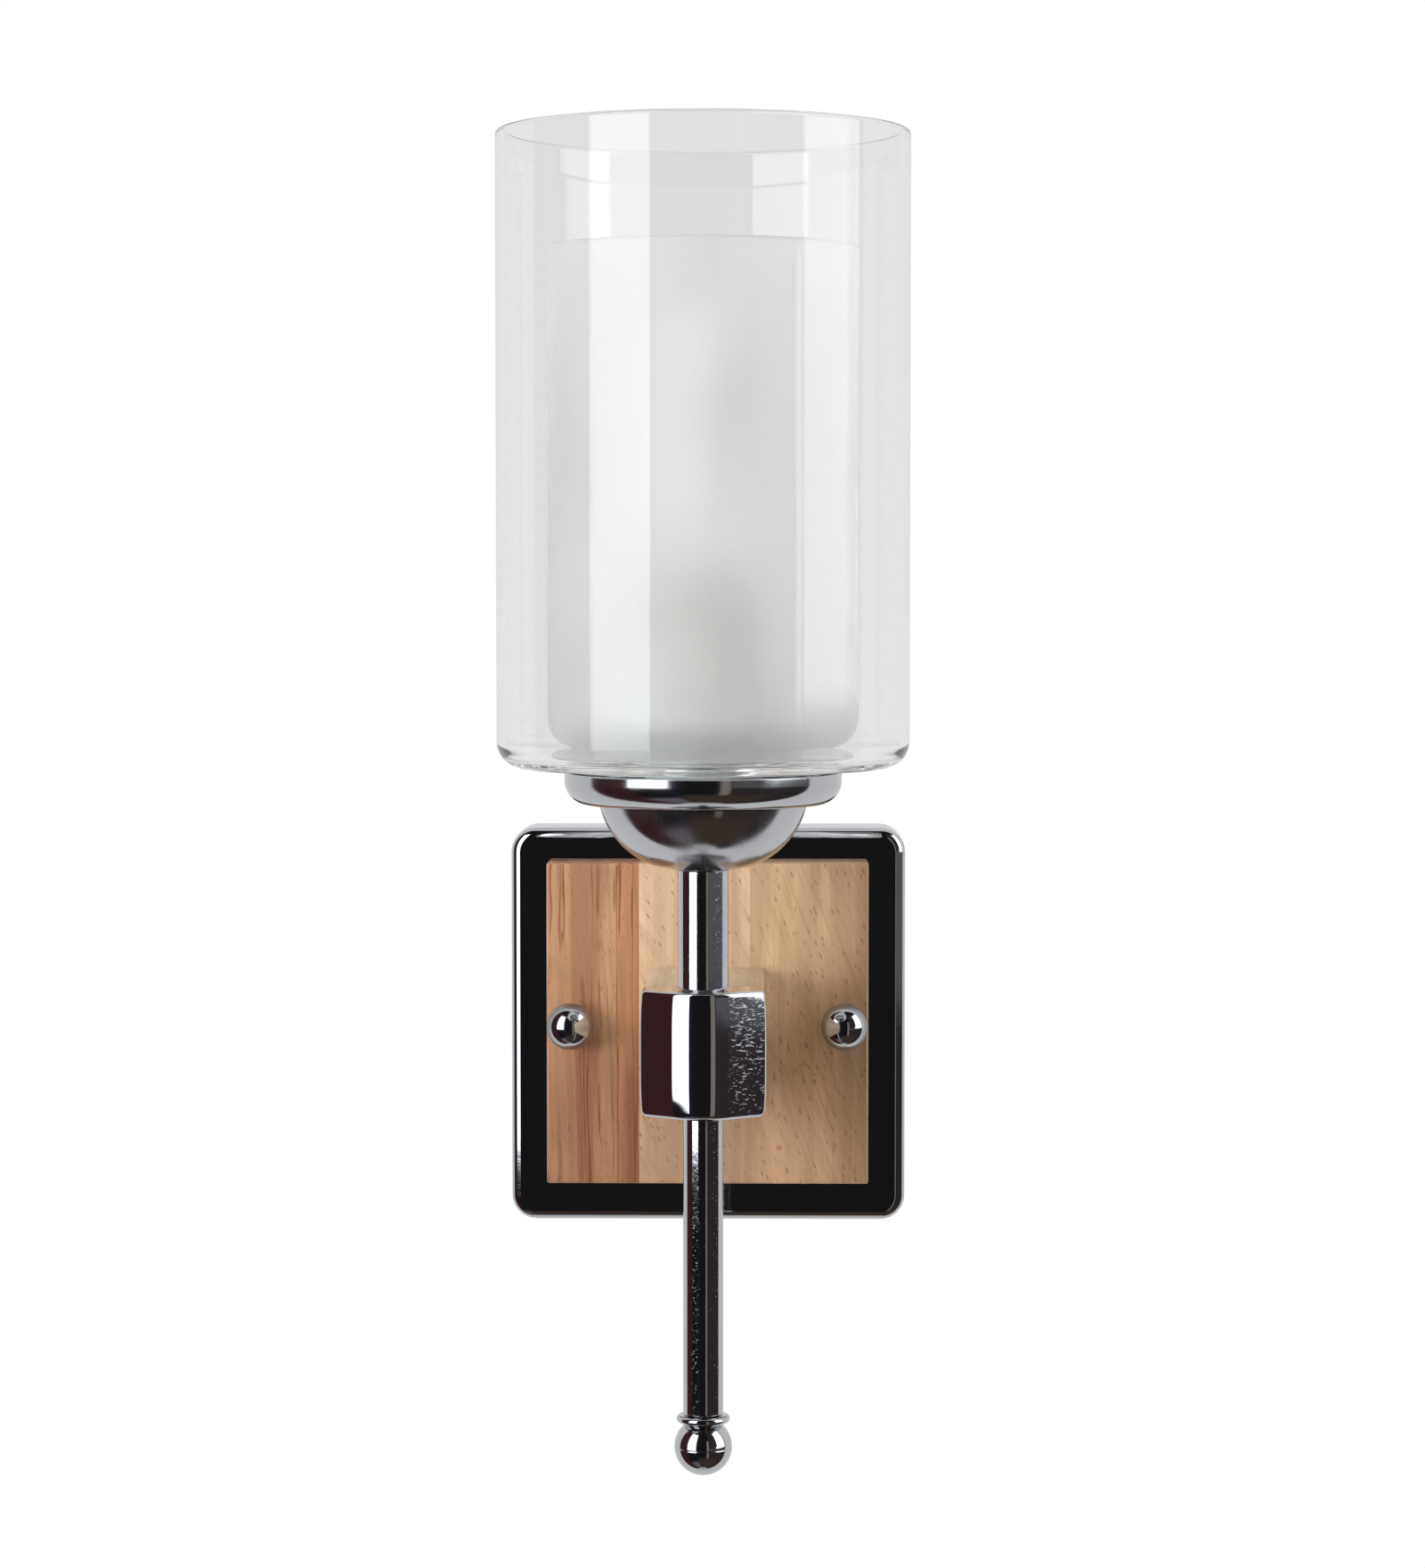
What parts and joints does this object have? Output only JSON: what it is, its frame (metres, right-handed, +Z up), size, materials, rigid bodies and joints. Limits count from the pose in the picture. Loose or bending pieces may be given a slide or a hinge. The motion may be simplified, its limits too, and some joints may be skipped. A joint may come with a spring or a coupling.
{
  "type": "wall sconce light",
  "caption": "Wall light: a chromed square wall pan with a wood panel and arm, and a vertical tube with a frosted glass in an open clear glass cylinder above and a ball finial below.",
  "frame": {"origin": "on the wall, where the wood arm's axis meets it: the middle of the wall bar's back face", "axes": "+Z up along the column, +Y into the wall, -Y out into the room, +X to the right for someone who faces the wall"},
  "size_m": [0.105, 0.144, 0.3329],
  "materials": {
    "chrome": "polished chrome plate",
    "cast_chrome": "chrome plate over a slightly uneven casting",
    "oak": "glued strips of pale hardwood, satin oil",
    "zinc_steel": "zinc-plated steel",
    "brass": "plain brass",
    "tin": "lamp cap alloy",
    "clear_glass": "clear, fire-polished rim",
    "frosted_glass": "acid-frosted",
    "lamp_glass": "opal lamp envelope",
    "white_plastic": "moulded",
    "black_plastic": "moulded phenolic",
    "silicone": "translucent silicone",
    "brown_sheath": "wire insulation",
    "blue_sheath": "wire insulation",
    "green_sheath": "wire insulation, green and yellow"
  },
  "bodies": {
    "wall_bracket": {"wall_bar": "zinc_steel", "stud_left": "zinc_steel", "stud_right": "zinc_steel", "stud_nut_left": "zinc_steel", "stud_nut_right": "zinc_steel"},
    "fixture": {"backplate_pan": "chrome", "wood_panel": "oak", "panel_screw_1": "zinc_steel", "panel_screw_2": "zinc_steel", "panel_screw_3": "zinc_steel", "terminal_fixing_screw": "zinc_steel", "terminal_block": "white_plastic", "terminal_screw_live": "brass", "terminal_screw_neutral": "brass", "terminal_screw_earth": "brass", "earth_stud": "zinc_steel", "earth_nut": "brass", "live_wire": "brown_sheath", "neutral_wire": "blue_sheath", "earth_wire": "green_sheath", "wood_arm": "oak", "tie_rod": "zinc_steel", "tie_washer": "zinc_steel", "tie_nut": "zinc_steel", "arm_block": "cast_chrome", "stem_tube": "chrome", "stem_rod": "zinc_steel", "cup_bowl": "chrome", "cup_nut": "zinc_steel", "glass_dish": "chrome", "seat_gasket": "silicone", "lampholder_base": "white_plastic", "lampholder_skirt": "white_plastic", "lampholder_core": "white_plastic", "socket_shell": "brass", "socket_contact": "brass", "drop_tube": "chrome", "drop_rod": "zinc_steel"},
    "cap_nut_left": {"cap_nut_left": "chrome", "cap_washer_left": "chrome"},
    "cap_nut_right": {"cap_nut_right": "chrome", "cap_washer_right": "chrome"},
    "outer_glass": {"outer_glass": "clear_glass"},
    "inner_glass": {"inner_glass": "frosted_glass", "spacer_gasket": "silicone"},
    "shade_ring": {"shade_ring": "white_plastic"},
    "lamp": {"lamp_contact": "tin", "lamp_insulator": "black_plastic", "lamp_cap": "tin", "lamp_envelope": "lamp_glass"},
    "finial": {"finial_ring": "chrome", "finial_ball": "chrome"}
  },
  "joints": [
    {"name": "fixture_off_studs", "type": "slide", "parent": "wall_bracket", "child": "fixture", "axis": [0, -1, 0], "range_m": [0, 0.03]},
    {"name": "left_cap_nut_off", "type": "slide", "parent": "fixture", "child": "cap_nut_left", "axis": [0, -1, 0], "range_m": [0, 0.012]},
    {"name": "right_cap_nut_off", "type": "slide", "parent": "fixture", "child": "cap_nut_right", "axis": [0, -1, 0], "range_m": [0, 0.012]},
    {"name": "outer_glass_lift", "type": "slide", "parent": "fixture", "child": "outer_glass", "axis": [0, 0, 1], "range_m": [0, 0.13]},
    {"name": "inner_glass_lift", "type": "slide", "parent": "outer_glass", "child": "inner_glass", "axis": [0, 0, 1], "range_m": [0, 0.165]},
    {"name": "shade_ring_lift", "type": "slide", "parent": "inner_glass", "child": "shade_ring", "axis": [0, 0, 1], "range_m": [0, 0.13]},
    {"name": "lamp_lift_out", "type": "slide", "parent": "fixture", "child": "lamp", "axis": [0, 0, 1], "range_m": [0, 0.14]},
    {"name": "finial_unscrew", "type": "slide", "parent": "fixture", "child": "finial", "axis": [0, 0, -1], "range_m": [0, 0.02]}
  ]
}
